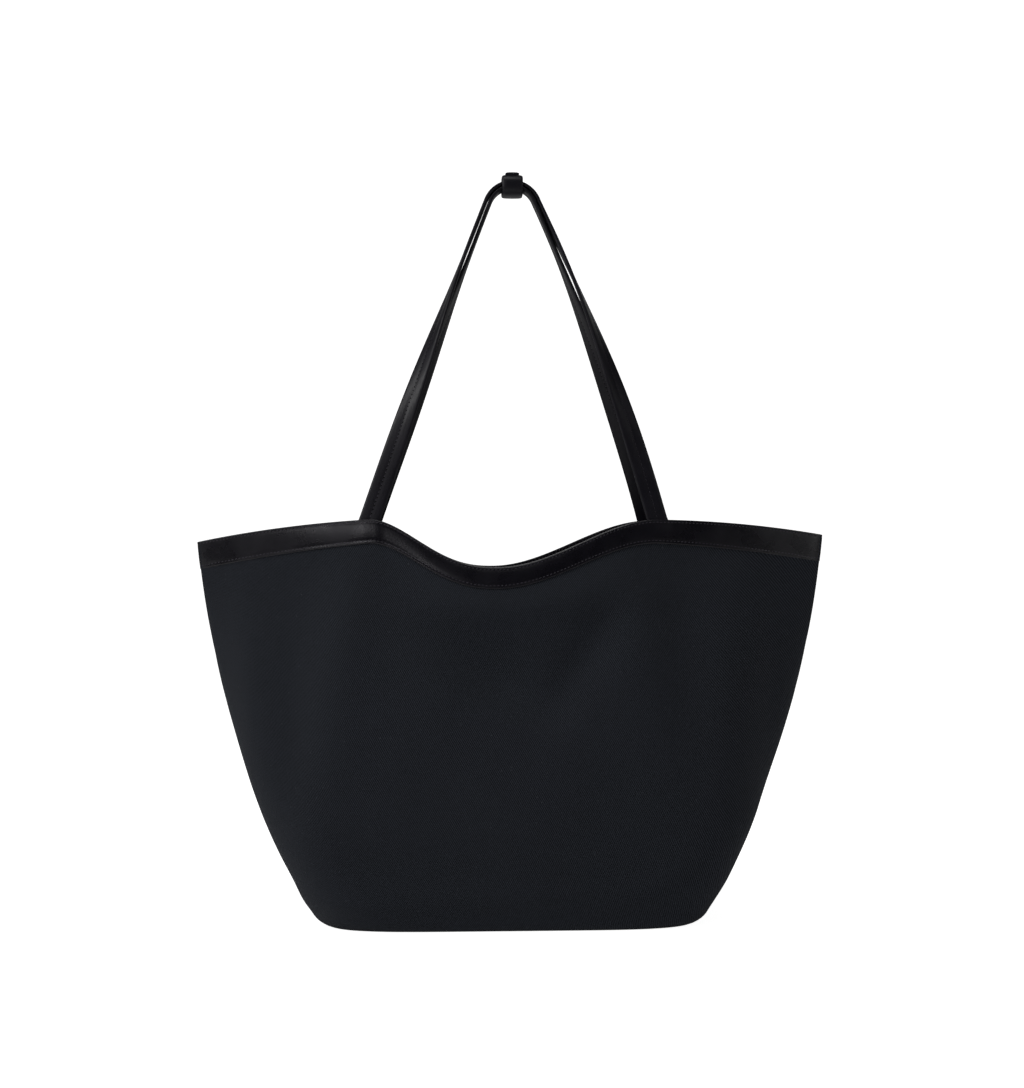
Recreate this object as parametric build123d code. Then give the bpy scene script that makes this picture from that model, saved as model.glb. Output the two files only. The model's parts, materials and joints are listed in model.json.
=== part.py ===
"""Open-top canvas shoulder tote with leather rim facings and two leather strap handles.

Millimetres. +Z is up, the origin is on the floor under the middle of the base, +X runs along the
mouth to the right and -Y is the front. The bag is built flat-bottomed from a front and a back canvas
panel that meet at the side seams and along the middle of the base. Each handle is one leather strap
that leaves the rim flat, turns a quarter turn on its way up and lies on edge over the crown, where a
leather keeper holds the two handles together. Sheet pieces are faceted solids, cut from one family
of wall surfaces, so that each ply lies a set distance inside the one before.
"""
from build123d import *
import math
import os

# ---- body -------------------------------------------------------------------------------------
mouth_half = 250.0        # side seam to middle, at the top of the side seams
mouth_depth = 50.0        # middle of the rim to the side-seam plane
foot_half = 156.0         # half width where the walls leave the base
foot_depth = 96.0         # half depth where the walls leave the base
base_half = 140.0         # half width of the flat part of the base
base_depth = 86.0         # half depth of the flat part of the base
foot_round = 12.0         # height of the rounding between base and walls
body_height = 292.0       # floor to the top of the side seams
rim_lean = 0.18           # how much the walls lean in above the side seams' tops
rim_flare = 0.08          # and how much they widen

# Girth stations between foot and mouth: share of height, share of the way from the foot's half
# width to the mouth's, and share of the way from the foot's half depth to the mouth's.
girth = [(0.16, 0.23, -0.03), (0.42, 0.59, 0.14), (0.70, 0.86, 0.46)]
foot_square = 5.5         # squareness of the plan outline at the foot, 2 is an ellipse
mouth_square = 1.8        # squareness at the mouth, where the outline comes to a point
around = 24               # facets of a panel from one side seam round to the other

# ---- rim line: top edge of the facings ---------------------------------------------------------
handle_half = 112.6       # half spacing of a handle's two ends
rim_at_seam = 294.0
rim_at_handle = 310.5
rim_at_dip = 273.4
dip_offset = -14.0        # the low point hangs this far to the left of the middle
dip_fullness = 1.15       # above 1 the dip is broader than it is sharp
shoulder_lift = 2.5       # how far the run from handle to seam bows above a straight line

# ---- plies, from outside to inside --------------------------------------------------------------
facing_thick = 1.2
canvas_thick = 1.2
stay_thick = 1.8          # room between canvas and lining: stay tape, strap ends, base board
lining_thick = 0.5
ply_gap = 0.05            # between plies that lie on each other
facing_height = 20.0
lip_thick = 1.2           # leather turned over the raw top edge
lip_gap = 0.3             # between the lip and the raw edges under it

# ---- straps -------------------------------------------------------------------------------------
strap_width = 16.5
strap_thick = 3.0
core_width = 12.0
core_thick = 1.2
core_start = 7.0          # the core begins this far above the rim
strap_gap = 0.6           # between the two straps where they lie on each other
tab_length = 16.0         # sewn-in end of a strap below the rim
tab_rise = 3.0            # the sewn-in end, skived as thin as the stay, reaches this far above the rim
leg_sunk = 6.0            # the leg is drawn from this far below the rim and cut off above it
leg_clear = 0.3           # between the rim and the leg that stands on it
slot_clear = 0.2          # between a strap's end and the stay and lip beside it
crown_radius = 24.0       # outside of the upper strap
crown_top = 581.5
twist_low = 330.0         # the quarter turn starts at this height
twist_high = 540.0        # and ends at this one
bend_top = 440.0          # below this height a strap flexes when the handles swing
spread_ease = 0.03        # share of a leg in which it leaves the middle plane
part_share = 0.32         # share of a leg, from the crown, along which both straps stay stacked

# ---- keeper -------------------------------------------------------------------------------------
keeper_width = 16.5
keeper_thick = 2.2
keeper_room_y = strap_width + 2.5
keeper_room_z = 2 * strap_thick + strap_gap + 6.4
keeper_round = 2.0
keeper_clear = 2.0        # crown of the upper strap to the inside of the keeper
tongue_width = 11.0       # overlapped end of the keeper, on its top
tongue_thick = 2.4
tongue_length = 17.0

# ---- inside -------------------------------------------------------------------------------------
board_width = 250.0
board_depth = 150.0
board_round = 25.0
pocket_facets = 3         # the pocket spans this many facets either side of the middle
pocket_top = 244.0
pocket_thick = 0.6
pocket_trim_height = 14.0
pocket_trim_thick = 1.0

# ---- worked out ---------------------------------------------------------------------------------
canvas_inner = canvas_thick
lining_outer = canvas_inner + stay_thick
lining_inner = lining_outer + lining_thick
pair_radius = crown_radius - strap_thick - strap_gap / 2
strap_pitch = strap_thick + strap_gap
crown_z = crown_top - crown_radius
under_lip = lip_thick + lip_gap
keeper_top = crown_top + keeper_clear
keeper_z = keeper_top - keeper_room_z / 2
FRONT, BACK = -1, 1
LEFT, RIGHT = -1, 1


def smooth(share):
    share = min(1.0, max(0.0, share))
    return share * share * (3 - 2 * share)


# ---- wall surfaces ------------------------------------------------------------------------------
def stations():
    """(height, half width, half depth, squareness 0 at the mouth to 1 at the foot), floor up."""
    rows = [(0.0, base_half, base_depth, 1.0), (foot_round, foot_half, foot_depth, 0.95)]
    for share, across, inward in girth:
        rows.append((share * body_height, foot_half + across * (mouth_half - foot_half),
                     foot_depth + inward * (mouth_depth - foot_depth), (1 - share) ** 1.6))
    rows.append((body_height, mouth_half, mouth_depth, 0.0))
    over = 2 * (rim_at_handle - body_height)
    rows.append((body_height + over, mouth_half + rim_flare * over, mouth_depth - rim_lean * over, 0.0))
    return rows


ROWS = stations()


def girth_at(z):
    """Half width, half depth and squareness at a height, on straight runs between the stations."""
    below = max(i for i in range(len(ROWS) - 1) if i == 0 or ROWS[i][0] <= z)
    low, high = ROWS[below], ROWS[below + 1]
    share = (z - low[0]) / (high[0] - low[0])
    return [a + (b - a) * share for a, b in zip(low[1:], high[1:])]


def wall_point(turn, z, inset):
    """Point of the front wall, moved in by inset; turn goes from 0, left seam, to 1, right seam."""
    half_width, half_depth, square = girth_at(z)
    power = mouth_square + (foot_square - mouth_square) * square
    root = 1 / (1 + (power - 1) * min(1.0, 1.7 * square))
    point_angle = math.sin(math.atan(mouth_square * half_depth / half_width))
    if inset < 0:
        point_angle = 1.0
    seam_inset = inset / (point_angle + (1 - point_angle) * min(1.0, 2.5 * square))
    across = math.cos(math.pi * turn)
    across = math.copysign(abs(across) ** (1 - 0.45 * square), across)
    y = (half_depth - inset) * max(0.0, 1 - abs(across) ** power) ** root
    return Vector(-(half_width - seam_inset) * across, 0 if turn in (0, 1) else -y, z)


def rim_height(x):
    """Height of the rim line over a place across the bag."""
    if abs(x) >= handle_half:
        share = (abs(x) - handle_half) / (mouth_half - handle_half)
        bow = 4 * shoulder_lift * share * (1 - share)
        return rim_at_handle + (rim_at_seam - rim_at_handle) * share + bow
    reach = handle_half + (dip_offset if x < dip_offset else -dip_offset)
    share = smooth((abs(x - dip_offset) / reach) ** dip_fullness)
    return rim_at_dip + (rim_at_handle - rim_at_dip) * share


def rim_point(turn, drop, inset):
    """Point of the front wall a given drop below the rim line."""
    z = rim_at_handle
    for _ in range(6):
        z = rim_height(wall_point(turn, z, inset).X) - drop
    return wall_point(turn, z, inset)


# ---- faceted solids -----------------------------------------------------------------------------
def facet(corners):
    """Flat face through points in order, or nothing if fewer than three of them are distinct."""
    distinct = [p for i, p in enumerate(corners) if (p - corners[i - 1]).length > 1e-4]
    return [Face(Wire.make_polygon(distinct))] if len(distinct) > 2 else []


def quad(a, b, c, d):
    """Two triangles. The quad is split from its near lower corner to its far upper one, so that the
    facets of neighbouring plies lie parallel."""
    return facet([a, d, c]) + facet([a, c, b]) if a.Z <= b.Z else facet([a, d, b]) + facet([b, d, c])


def swept(rings):
    """Closed solid over a row of rings of points. A ring runs out along one face of the ply and back
    along the other, so that its ends close like the rungs of a ladder."""
    faces = []
    for near, far in zip(rings, rings[1:]):
        for corners in zip(near, near[1:] + near[:1], far[1:] + far[:1], far):
            faces += quad(*corners)
    for ring in (rings[0], rings[-1]):
        out, back = ring[:len(ring) // 2], ring[:len(ring) // 2 - 1:-1]
        for corners in zip(out, out[1:], back[1:], back):
            faces += quad(*corners)
    return Solid(Shell(faces))


TURNS = [i / around for i in range(around + 1)]
GIRTHS = [row[0] for row in ROWS[2:-2]]
LEVELS = [foot_round] + sorted(GIRTHS + [pocket_top - pocket_trim_height, pocket_top])


def bag_shell(outer, inner):
    """Front half of a bag-shaped ply: its half of the base and its wall, up to the rim's lip."""
    def run(turn, inset):
        edge = wall_point(turn, 0, inset)
        points = [Vector(edge.X, 0, inset), Vector(edge.X, edge.Y, inset)]
        points += [wall_point(turn, z, inset) for z in LEVELS]
        return points + [rim_point(turn, drop, inset) for drop in (facing_height, under_lip)]

    return swept([run(t, outer) + run(t, inner)[::-1] for t in TURNS])


def rim_strip(outer, inner, top):
    """Strip of a ply along the front rim, from the facing's lower edge up to a drop below the rim."""
    drops = [facing_height, under_lip] + ([top] if top < under_lip else [])
    profile = [(outer, drop) for drop in drops] + [(inner, drop) for drop in drops[::-1]]
    return swept([[rim_point(t, drop, inset) for inset, drop in profile] for t in TURNS])


def folded_facing():
    """Outer facing with its lip, which turns over the raw edges of canvas, stay and lining."""
    outside = -ply_gap - facing_thick
    profile = [(outside, facing_height), (outside, under_lip), (outside, 0), (lining_inner, 0),
               (lining_inner, lip_thick), (-ply_gap, lip_thick), (-ply_gap, under_lip),
               (-ply_gap, facing_height)]
    return swept([[rim_point(t, drop, inset) for inset, drop in profile] for t in TURNS])


def wall_patch(outer, inner, levels):
    """Patch of a ply on the front wall, across the pocket's facets and up through some levels."""
    middle = around // 2
    profile = [(outer, z) for z in levels] + [(inner, z) for z in levels[::-1]]
    return swept([[wall_point(t, z, inset) for inset, z in profile]
                  for t in TURNS[middle - pocket_facets:middle + pocket_facets + 1]])


# ---- straps -------------------------------------------------------------------------------------
def strap_foot():
    """Where a strap's middle stands at the rim: (distance from the seam plane, turn in plan)."""
    def wall_depth(x):
        ring = [wall_point(t, rim_at_handle, canvas_inner + stay_thick / 2) for t in TURNS]
        near, far = next((a, b) for a, b in zip(ring, ring[1:]) if a.X <= x <= b.X)
        return -(near.Y + (far.Y - near.Y) * (x - near.X) / (far.X - near.X))

    near, far = wall_depth(handle_half - strap_width / 2), wall_depth(handle_half + strap_width / 2)
    return wall_depth(handle_half), math.atan((near - far) / strap_width)


foot_y, foot_turn = strap_foot()


def leg_line():
    """(lean from vertical, x and z where the pair of straps leaves the crown's arc)."""
    rise = crown_z - rim_at_handle
    lean = math.atan(handle_half / rise) - math.asin(pair_radius / math.hypot(handle_half, rise))
    return lean, pair_radius * math.cos(lean), crown_z + pair_radius * math.sin(lean)


def leg_frame(side, hand, z):
    """Plane across a leg at height z: its x runs along the strap's width, its normal up the leg."""
    lean, top_x, top_z = leg_line()
    share = (top_z - z) / (top_z - rim_at_handle)
    spread = share - spread_ease * (1 - math.exp(-share / spread_ease))
    turned = smooth((twist_high - z) / (twist_high - twist_low)) * (math.pi / 2 - foot_turn)
    along = Vector(-hand * math.sin(lean), 0, math.cos(lean))
    outward = Vector(hand * math.cos(lean), 0, math.sin(lean))
    facing = outward * math.cos(turned) + Vector(0, side, 0) * math.sin(turned)
    stacked = -side * strap_pitch / 2 * (1 - smooth((share - part_share) / (1 - part_share)))
    middle = Vector(hand * (top_x + (handle_half - top_x) * share), side * foot_y * spread, z)
    return Plane(origin=middle + outward * stacked, x_dir=facing.cross(along), z_dir=along)


def leg(side, hand, width, thick, low, high, steps):
    """Loft of a leg between two heights, measured along its middle."""
    heights = [low + (high - low) * i / steps for i in range(steps + 1)]
    return loft([leg_frame(side, hand, z) * Rectangle(width, thick) for z in heights])


def crown(side, width, thick):
    """The arc of a strap over the top, between the places where its two legs leave it."""
    lean = leg_line()[0]
    across = Plane(origin=(0, 0, crown_z), x_dir=(math.cos(lean), 0, math.sin(lean)),
                   z_dir=(-math.sin(lean), 0, math.cos(lean)))
    section = across * Pos(pair_radius - side * strap_pitch / 2, 0) * Rectangle(thick, width)
    crown_axis = Axis((0, 0, crown_z), (0, -1, 0))
    return revolve(section, axis=crown_axis, revolution_arc=180 - 2 * math.degrees(lean))


def top_of_strap(side, width, thick):
    legs = [leg(side, hand, width, thick, bend_top, leg_line()[2], 7) for hand in (LEFT, RIGHT)]
    return crown(side, width, thick) + legs[0] + legs[1]


def tab_space(hand, clear):
    height = tab_length + clear + 2 * tab_rise
    column = Box(strap_width + 2 * clear, 4 * mouth_depth, height)
    return Pos(hand * handle_half, 0, rim_at_handle + 2 * tab_rise - height / 2) * column


def sewn_end(side, hand, core):
    """A strap's lower length: its tab between canvas and lining and its leg up to the bend."""
    tab = sewn_room() & tab_space(hand, 0)
    tab = tab if side == FRONT else mirror(tab, Plane.XZ)
    blunt = leg(side, hand, strap_width, strap_thick, rim_at_handle - leg_sunk, bend_top, 5)
    rim = [(hand * handle_half + x, rim_height(hand * handle_half + x) + leg_clear)
           for x in (-strap_width, -strap_width / 2, 0, strap_width / 2, strap_width)]
    floor_z = rim_at_handle - 4 * leg_sunk
    under = Polyline(*rim, (rim[-1][0], floor_z), (rim[0][0], floor_z), rim[0])
    return blunt - extrude(Plane.XZ * make_face(under), amount=foot_depth, both=True) + tab - core


def sewn_room():
    """Room between canvas and lining behind the facing, carried up past the rim."""
    return rim_strip(canvas_inner + ply_gap, lining_outer - ply_gap, -tab_rise)


# ---- keeper -------------------------------------------------------------------------------------
def keeper():
    """Leather loop round both straps, and its overlapped end on the top."""
    outside = RectangleRounded(keeper_room_y + 2 * keeper_thick, keeper_room_z + 2 * keeper_thick,
                               keeper_round + keeper_thick)
    inside = RectangleRounded(keeper_room_y, keeper_room_z, keeper_round)
    ring = extrude(Plane.YZ * Pos(0, keeper_z) * (outside - inside), amount=keeper_width / 2, both=True)
    tongue_z = keeper_top + keeper_thick + tongue_thick / 2
    tongue = Pos(0, 0, tongue_z) * Box(tongue_width, tongue_length, tongue_thick)
    tongue = fillet(tongue.edges().filter_by(Axis.Z), tongue_width * 0.3)
    return ring, chamfer(tongue.faces().sort_by(Axis.Z)[-1].edges(), tongue_thick * 0.4)


# ---- assembly -----------------------------------------------------------------------------------
def front_plies():
    """Every sheet piece of the front half, with slots for the strap ends."""
    over_lining = lining_inner + ply_gap
    plies = {
        "panel": bag_shell(0, canvas_inner),
        "lining": bag_shell(lining_outer, lining_inner),
        "outer_facing": folded_facing(),
        "inner_facing": rim_strip(over_lining, over_lining + facing_thick, 0),
        "rim_stay": rim_strip(canvas_inner + ply_gap, lining_outer - ply_gap, under_lip),
    }
    for hand in (LEFT, RIGHT):
        slot = sewn_room() & tab_space(hand, slot_clear)
        plies["outer_facing"] -= slot
        plies["rim_stay"] -= slot
    return plies


def build():
    nodes = {}
    plies = front_plies()
    for side, name in ((FRONT, "front"), (BACK, "back")):
        for part, solid in plies.items():
            nodes[f"{name}_{part}"] = solid if side == FRONT else mirror(solid, Plane.XZ)
        for hand, hand_name in ((LEFT, "left"), (RIGHT, "right")):
            core = leg(side, hand, core_width, core_thick, rim_at_handle + core_start, bend_top, 5)
            nodes[f"{name}_core_{hand_name}_end"] = core
            nodes[f"{name}_strap_{hand_name}_end"] = sewn_end(side, hand, core)
        nodes[f"{name}_core_top"] = top_of_strap(side, core_width, core_thick)
        strap = top_of_strap(side, strap_width, strap_thick)
        nodes[f"{name}_strap_top"] = strap - nodes[f"{name}_core_top"]

    room = stay_thick - 2 * ply_gap
    board = Pos(0, 0, canvas_inner + ply_gap) * RectangleRounded(board_width, board_depth, board_round)
    nodes["base_board"] = extrude(board, amount=room)
    pocket_outer = lining_inner + ply_gap
    pocket_inner = pocket_outer + pocket_thick
    trim_outer = pocket_inner + ply_gap
    pocket = wall_patch(pocket_outer, pocket_inner, [z for z in LEVELS if GIRTHS[1] <= z <= pocket_top])
    trim_levels = [pocket_top - pocket_trim_height, pocket_top]
    trim = wall_patch(trim_outer, trim_outer + pocket_trim_thick, trim_levels)
    nodes["pocket"], nodes["pocket_trim"] = mirror(pocket, Plane.XZ), mirror(trim, Plane.XZ)
    nodes["keeper_loop"], nodes["keeper_tongue"] = keeper()
    return nodes


os.makedirs("parts", exist_ok=True)
for node, solid in build().items():
    solid.label = node
    export_step(solid, f"parts/{node}.step")
    print(node, len(solid.solids()), round(solid.volume), solid.bounding_box().size)
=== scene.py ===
"""Looks of an open-top shoulder tote: black twill canvas, leather rim facings, two strap handles and a
leather keeper. Metres throughout, in the frame's own axes: +Z up, -Y the front."""
import json
import math

import bmesh
import bpy
import numpy as np
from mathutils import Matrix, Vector


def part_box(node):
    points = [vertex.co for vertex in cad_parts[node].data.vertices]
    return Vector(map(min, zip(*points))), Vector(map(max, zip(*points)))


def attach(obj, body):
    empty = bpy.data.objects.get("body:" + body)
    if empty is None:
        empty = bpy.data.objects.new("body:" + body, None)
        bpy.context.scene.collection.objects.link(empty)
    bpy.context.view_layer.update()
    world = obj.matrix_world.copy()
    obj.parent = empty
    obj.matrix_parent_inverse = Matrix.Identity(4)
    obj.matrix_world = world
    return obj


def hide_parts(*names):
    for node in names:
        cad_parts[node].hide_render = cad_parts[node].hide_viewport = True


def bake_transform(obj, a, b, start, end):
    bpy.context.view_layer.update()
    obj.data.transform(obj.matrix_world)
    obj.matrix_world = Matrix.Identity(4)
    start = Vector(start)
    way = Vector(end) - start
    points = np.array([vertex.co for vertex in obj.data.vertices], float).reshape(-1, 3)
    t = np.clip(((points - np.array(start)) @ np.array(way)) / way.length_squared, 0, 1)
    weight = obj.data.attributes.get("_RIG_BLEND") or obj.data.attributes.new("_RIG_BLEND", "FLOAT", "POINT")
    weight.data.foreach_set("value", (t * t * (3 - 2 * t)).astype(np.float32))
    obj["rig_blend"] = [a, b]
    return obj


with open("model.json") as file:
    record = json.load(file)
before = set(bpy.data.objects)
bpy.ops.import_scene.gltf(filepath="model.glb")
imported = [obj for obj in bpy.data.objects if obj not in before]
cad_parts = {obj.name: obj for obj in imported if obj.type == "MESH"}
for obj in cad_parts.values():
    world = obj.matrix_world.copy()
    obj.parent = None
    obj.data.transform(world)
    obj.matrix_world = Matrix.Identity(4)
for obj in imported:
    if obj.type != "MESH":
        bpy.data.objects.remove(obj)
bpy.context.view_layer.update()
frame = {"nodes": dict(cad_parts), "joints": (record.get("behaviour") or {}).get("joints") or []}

MM = 0.001
FRONT, BACK = -1, 1
SIDES = ((FRONT, "front"), (BACK, "back"))

# ---- sizes of the frame --------------------------------------------------------------------------
panel_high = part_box("front_panel")[1]
tab_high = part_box("front_strap_right_end")[1]
top_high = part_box("front_strap_top")[1]
keeper_low, keeper_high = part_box("keeper_loop")
tongue_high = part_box("keeper_tongue")[1]

# Body stations, floor up: height, half width, half depth, squareness of the plan outline.
GIRTH = np.array([
    (0.0, 148.5, 95.4, 1.00), (14.0, 157.0, 96.0, 0.95), (46.7, 177.3, 97.4, 0.76),
    (122.6, 211.4, 89.6, 0.42), (204.4, 236.6, 74.8, 0.15), (292.0, 250.0, 50.0, 0.0),
    (329.0, 253.0, 43.3, 0.0)]) * (MM, MM, MM, 1)
# Slump of the body to one side, by height.
SLUMP = np.array([(0.0, -3.4), (50.0, -2.6), (100.0, -1.6), (160.0, -0.6), (220.0, 0.0)]) * MM
FOOT_ROUND = 8 * MM
FOOT_TUCK_X, FOOT_TUCK_Y = 9 * MM, 6 * MM
FOOT_SQUARE, MOUTH_SQUARE = 5.5, 1.8

MOUTH_HALF = panel_high.x
HANDLE_HALF = tab_high.x - 9 * MM
RIM_AT_HANDLE = frame["joints"][0]["pos_m"][2]
RIM_AT_LEFT_SEAM, RIM_AT_RIGHT_SEAM = RIM_AT_HANDLE - 17.5 * MM, RIM_AT_HANDLE - 11.5 * MM
RIM_AT_DIP = RIM_AT_HANDLE - 37.1 * MM
DIP_X = -14 * MM
DIP_FULLNESS_LEFT, DIP_FULLNESS_RIGHT = 1.28, 1.03
SHOULDER_LIFT = 2.5 * MM
TAB_SWELL, TAB_REACH = 0.3 * MM, 8.5 * MM
SEAM_PINCH = 1.1 * MM
PANEL_ARC = 0.5

CANVAS_THICK, STAY_THICK, LINING_THICK = 1.2 * MM, 1.8 * MM, 0.5 * MM
PLY_GAP = 0.05 * MM
LINING_OUTER = CANVAS_THICK + STAY_THICK
LINING_INNER = LINING_OUTER + LINING_THICK
FACING_MIDDLE, FACING_SEAM = 16.5 * MM, 22.0 * MM
LIP = 1.5 * MM
POCKET_HALF_TURN, POCKET_THICK, PATCH_PUFF = 0.175, 0.6 * MM, 1.4 * MM

STRAP_WIDTH, STRAP_THICK, STRAP_PITCH = 16.5 * MM, 3.0 * MM, 3.6 * MM
FOLDED_THICK, FILLER_WIDTH, FILLER_THICK = 3.2 * MM, 12 * MM, 1.2 * MM
CROWN_TOP = top_high.z
CROWN_RADIUS = 24 * MM
PAIR_RADIUS = CROWN_RADIUS - STRAP_THICK - 0.3 * MM
CROWN_Z = CROWN_TOP - CROWN_RADIUS
TWIST_LOW, TWIST_HIGH = 330 * MM, 540 * MM
BEND_TOP = tab_high.z
FOOT_Y, FOOT_TURN = 34.0 * MM, math.radians(9.8)
BOW_LEFT, BOW_RIGHT = 1.4 * MM, 6.0 * MM
KEEPER_THICK, LAP_LIFT, TONGUE_WIDTH = 2.2 * MM, 2.3 * MM, 11 * MM
RIM_ROW_TOP, RIM_ROW_LOW, RIM_ROW_LIFT = 2.1 * MM, -2.4 * MM, 1.12 * MM
STRAP_ROW_PITCH, STRAP_ROW_LIFT = 3.3 * MM, 1.26 * MM


def smooth(share):
    share = np.clip(share, 0.0, 1.0)
    return share * share * (3 - 2 * share)


# ---- body surface --------------------------------------------------------------------------------
def eased(z, column):
    """Value of one station column at heights z, on a smooth curve through the stations."""
    heights, values = GIRTH[:, 0], GIRTH[:, column]
    slope = np.gradient(values, heights)
    slope[0] = slope[1] = (values[2] - values[1]) / (heights[2] - heights[1])
    at = np.clip(np.searchsorted(heights, z) - 1, 0, len(heights) - 2)
    span = heights[at + 1] - heights[at]
    t = np.clip((z - heights[at]) / span, 0, 1)
    a, b = values[at], values[at + 1]
    ma, mb = slope[at] * span, slope[at + 1] * span
    return (((2 * t - 3) * t * t + 1) * a + ((t - 2) * t + 1) * t * ma
            + (3 - 2 * t) * t * t * b + (t - 1) * t * t * mb)


def outline_table():
    """Plan outlines as fractions of half width and half depth, at even steps of arc length."""
    heights = np.linspace(0, 0.33, 180)
    turns = np.linspace(0, 1, 257)
    across, inward = [], []
    for z in heights:
        square = max(0.0, float(eased(np.array([z]), 3)[0]))
        power = MOUTH_SQUARE + (FOOT_SQUARE - MOUTH_SQUARE) * square
        root = 1 / (1 + (power - 1) * min(1.0, 1.7 * square))
        half_width, half_depth = (float(eased(np.array([z]), c)[0]) for c in (1, 2))
        x = np.linspace(0, 0.85, 160)
        y = (1 - x ** power) ** root
        low_y = np.linspace(y[-1], 0, 161)[1:]
        x = np.concatenate((x, (1 - low_y ** (1 / root)) ** (1 / power)))
        y = np.concatenate((y, low_y))
        run = np.concatenate(([0], np.cumsum(np.hypot(np.diff(x) * half_width, np.diff(y) * half_depth))))
        share = np.abs(2 * turns - 1)
        across.append(np.sign(turns - 0.5) * np.interp(share * run[-1], run, x))
        inward.append(np.interp(share * run[-1], run, y))
    return heights, np.array(across), np.array(inward)


TABLE_Z, TABLE_X, TABLE_Y = outline_table()


def from_table(table, turn, z):
    """Value of an outline table at a turn and a height, between its rows and columns."""
    row = np.clip(z / TABLE_Z[-1] * (len(TABLE_Z) - 1), 0, len(TABLE_Z) - 1.001)
    col = np.clip(turn, 0, 1) * (table.shape[1] - 1)
    r, c = row.astype(int), np.minimum(col.astype(int), table.shape[1] - 2)
    fr, fc = row - r, col - c
    upper = table[r, c] * (1 - fc) + table[r, c + 1] * fc
    lower = table[r + 1, c] * (1 - fc) + table[r + 1, c + 1] * fc
    return upper * (1 - fr) + lower * fr


def wall(turn, z, inset):
    """Front wall without folds, moved in by inset. turn runs from 0, left seam, to 1, right seam."""
    turn, z, inset = (np.asarray(values, float) for values in (turn, z, inset))
    turn, z, inset = np.broadcast_arrays(turn, z, inset)
    flush = 0.3 + 0.7 * smooth(np.minimum(turn, 1 - turn) / 0.025)
    inset = np.where(inset < 0, inset * flush, inset)
    half_width, half_depth, square = (eased(z, c) for c in (1, 2, 3))
    tuck = 1 - np.sqrt(np.clip(1 - ((FOOT_ROUND - np.minimum(z, FOOT_ROUND)) / FOOT_ROUND) ** 2, 0, 1))
    half_width = half_width - FOOT_TUCK_X * tuck
    half_depth = half_depth - FOOT_TUCK_Y * tuck
    point = np.sin(np.arctan(MOUTH_SQUARE * half_depth / half_width))
    mitre = point + (1 - point) * np.minimum(1, 2.5 * np.maximum(square, 0))
    seam_inset = inset / np.where(inset < 0, 1.0, mitre)
    x = (half_width - seam_inset) * from_table(TABLE_X, turn, z) + np.interp(z, SLUMP[:, 0], SLUMP[:, 1])
    y = (half_depth - inset) * from_table(TABLE_Y, turn, z)
    return np.stack((x, -y, z), -1)


def rim_height(x):
    """Height of the rim line over a place across the bag."""
    share = (np.abs(x) - HANDLE_HALF) / (MOUTH_HALF - HANDLE_HALF)
    at_seam = np.where(x < 0, RIM_AT_LEFT_SEAM, RIM_AT_RIGHT_SEAM)
    outer = RIM_AT_HANDLE + (at_seam - RIM_AT_HANDLE) * share + 4 * SHOULDER_LIFT * share * (1 - share)
    reach = HANDLE_HALF + np.where(x < DIP_X, DIP_X, -DIP_X)
    fullness = np.where(x < DIP_X, DIP_FULLNESS_LEFT, DIP_FULLNESS_RIGHT)
    inner = RIM_AT_DIP + (RIM_AT_HANDLE - RIM_AT_DIP) * smooth((np.abs(x - DIP_X) / reach) ** fullness)
    ease = smooth((np.abs(x) - HANDLE_HALF + 9 * MM) / (18 * MM))
    return inner * (1 - ease) + outer * ease


def facing_height(x):
    return FACING_MIDDLE + (FACING_SEAM - FACING_MIDDLE) * smooth(np.abs(x) / MOUTH_HALF)


# Soft folds: place across, height, lean from upright, half length, half width, how far it stands out.
# All in millimetres and degrees. One that stands out by less than nothing is a hollow.
FOLDS = {
    FRONT: [(-132, 205, 8, 80, 15, 2.8), (-173, 165, 2, 66, 13, -2.4), (-206, 180, -8, 70, 15, 2.0),
            (-92, 215, 4, 60, 22, -1.2), (-33, 208, -52, 50, 14, -5.6), (54, 206, 34, 42, 13, -3.8),
            (-2, 250, 89, 62, 13, 3.6), (8, 186, 0, 32, 40, -7.5), (4, 168, 20, 34, 26, 1.6),
            (92, 222, -12, 60, 17, 2.2), (132, 205, -6, 78, 15, -1.6), (168, 200, 8, 88, 18, 2.0),
            (206, 175, 8, 85, 14, -2.2), (-150, 62, -35, 52, 13, 1.8), (-118, 46, -62, 55, 10, -1.4),
            (-40, 24, 88, 130, 8, 1.4), (120, 42, 60, 62, 11, 1.3), (30, 110, 12, 70, 34, 1.8),
            (-60, 118, -10, 74, 30, -1.2)],
    BACK: [(128, 198, 5, 86, 18, 2.4), (166, 186, 7, 66, 15, -2.0), (205, 172, 9, 74, 15, 2.0),
           (86, 214, -5, 58, 20, -1.3), (24, 232, -78, 62, 17, -2.6), (-22, 190, -42, 46, 14, -2.4),
           (-66, 208, -30, 52, 15, 2.2), (-110, 220, 10, 66, 18, 1.8), (-150, 204, -4, 80, 17, -1.8),
           (-196, 186, -9, 84, 16, 2.0), (140, 60, 38, 50, 13, 1.8), (-128, 52, -52, 54, 12, -1.4),
           (10, 24, 88, 130, 8, 1.3), (-20, 112, -12, 74, 32, 1.6), (64, 120, 10, 70, 30, -1.2)],
}
FOLD_GAIN = 1.5
# Faint ripples over the whole wall: length across, length upward, height, in millimetres.
RIPPLES = ((41, 63, 0.28), (67, 37, 0.24), (29, 91, 0.2), (113, 71, 0.4))


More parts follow.
